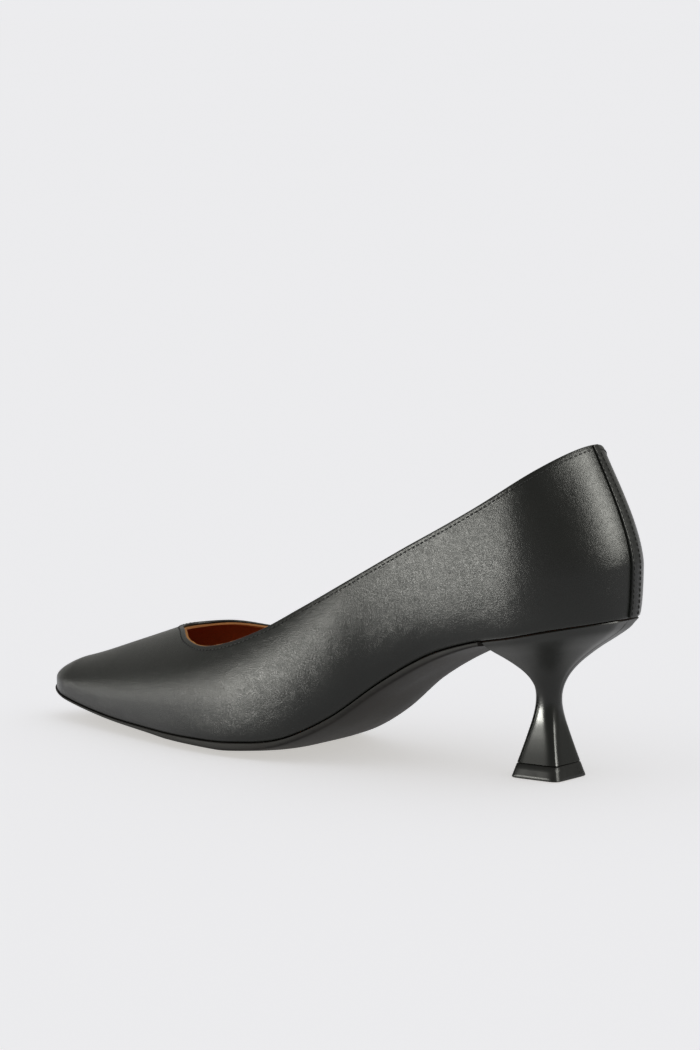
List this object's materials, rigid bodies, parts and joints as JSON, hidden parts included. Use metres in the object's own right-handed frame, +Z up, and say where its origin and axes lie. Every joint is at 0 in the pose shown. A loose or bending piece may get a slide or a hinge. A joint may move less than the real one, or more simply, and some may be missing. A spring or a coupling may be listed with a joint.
{
  "type": "heeled court shoe",
  "caption": "Pointed court shoe in plain leather with a low-cut throat, a narrow strip over the back seam and a waisted heel flaring to a square tip.",
  "frame": {"origin": "centre of the heel tip's flat underside, on the floor", "axes": "+X towards the toe, +Y to the wearer's left, +Z up from the floor"},
  "size_m": [0.2512, 0.0762, 0.113],
  "materials": {
    "upper": "satin grained leather, lined",
    "back_strip": "satin grained leather",
    "insole": "matt lining leather",
    "outsole": "smooth, slightly brushed along its length",
    "heel": "satin cover above, glossy towards the tip",
    "heel_tip": "smooth, half matt"
  },
  "bodies": {
    "root": {"upper": "upper", "back_strip": "back_strip", "insole": "insole", "outsole": "outsole", "heel": "heel", "heel_tip": "heel_tip"}
  },
  "joints": []
}
